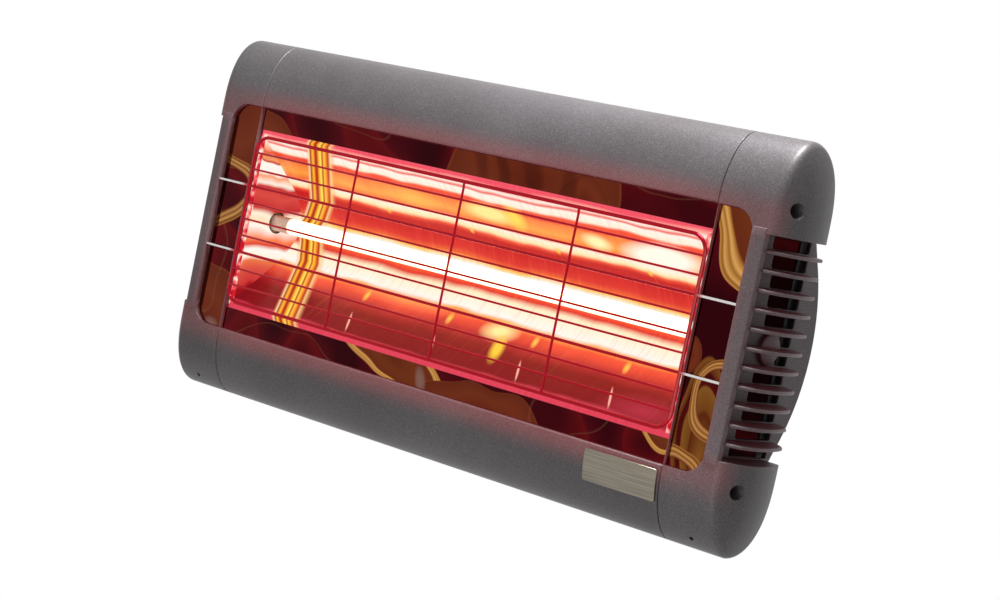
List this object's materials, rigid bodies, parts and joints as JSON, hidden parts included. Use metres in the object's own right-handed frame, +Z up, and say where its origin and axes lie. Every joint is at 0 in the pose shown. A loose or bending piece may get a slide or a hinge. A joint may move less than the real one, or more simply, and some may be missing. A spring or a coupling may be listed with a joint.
{
  "type": "wall-hung infrared quartz heater",
  "caption": "Horizontal radiant heater with finned end caps, a wire-guarded quartz lamp in a polished trough and a tilting wall bracket.",
  "frame": {"origin": "middle of the wall plate of the bracket, on the wall", "axes": "+X along the body to the right end cap, +Y into the wall, +Z up; the lamp faces -Y"},
  "size_m": [0.446, 0.1492, 0.225],
  "materials": {
    "cast_paint": "fine metallic grey-brown paint, satin",
    "mirror_steel": "mirror-polished steel that reflects a warm red surrounding",
    "polished_aluminium": "polished sheet",
    "bright_wire": "bright drawn wire, spot welded",
    "zinc_steel": "zinc plated",
    "black_steel": "black powder coat",
    "ceramic": "unglazed cream ceramic",
    "quartz": "red-tinted quartz glass, clear",
    "filament": "coiled tungsten wire, glowing",
    "brass": "plain",
    "moulding": "black moulding, fine grain",
    "badge_metal": "brushed, olive bronze anodised, bare",
    "silicone": "silicone insulation"
  },
  "bodies": {
    "bracket": {"wall_bracket": "black_steel", "pivot_bolt_right": "zinc_steel", "pivot_bolt_left": "zinc_steel", "pivot_nut_right": "zinc_steel", "pivot_nut_left": "zinc_steel"},
    "heater": {"top_casing": "cast_paint", "bottom_casing": "cast_paint", "end_cap_right": "cast_paint", "end_cap_left": "cast_paint", "end_cap_screw_top_right": "zinc_steel", "end_cap_screw_top_left": "zinc_steel", "end_cap_screw_bottom_right": "zinc_steel", "end_cap_screw_bottom_left": "zinc_steel", "rear_cover": "cast_paint", "cover_screw_top_1": "zinc_steel", "cover_screw_bottom_1": "zinc_steel", "cover_screw_top_2": "zinc_steel", "cover_screw_bottom_2": "zinc_steel", "cover_screw_top_3": "zinc_steel", "cover_screw_bottom_3": "zinc_steel", "tilt_strap": "black_steel", "strap_screw_1": "zinc_steel", "strap_screw_2": "zinc_steel", "mirror_top": "mirror_steel", "mirror_bottom": "mirror_steel", "mirror_right": "mirror_steel", "mirror_left": "mirror_steel", "reflector": "polished_aluminium", "end_reflector_right": "polished_aluminium", "end_reflector_left": "polished_aluminium", "guard": "bright_wire", "badge_plate": "badge_metal", "lamp_holder_right": "ceramic", "lamp_holder_left": "ceramic", "holder_bracket_right": "zinc_steel", "holder_bracket_left": "zinc_steel", "fixed_contact": "brass", "contact_spring": "zinc_steel", "terminal_block": "moulding", "live_wire": "silicone", "neutral_wire": "silicone", "cable_gland": "moulding", "gland_nut": "moulding"},
    "lamp": {"quartz_tube": "quartz", "filament": "filament", "lamp_cap_right": "ceramic", "lamp_cap_left": "ceramic", "lamp_contact_right": "zinc_steel", "lamp_contact_left": "zinc_steel"},
    "plunger": {"sprung_contact": "brass"}
  },
  "joints": [
    {"name": "tilt", "type": "hinge", "parent": "bracket", "child": "heater", "pos_m": [0, -0.046, 0], "axis": [1, 0, 0], "range_deg": [0, 35]},
    {"name": "lamp_slide", "type": "slide", "parent": "heater", "child": "lamp", "axis": [1, 0, 0], "range_m": [0, 0.0025], "stiffness_N_per_m": 1200, "springref_m": -0.004, "deforming": ["contact_spring"]},
    {"name": "plunger_slide", "type": "slide", "parent": "heater", "child": "plunger", "axis": [1, 0, 0], "range_m": [0, 0.0025]}
  ],
  "couplings": [
    {"joint": "plunger_slide", "follows": "lamp_slide", "ratio": 1}
  ]
}
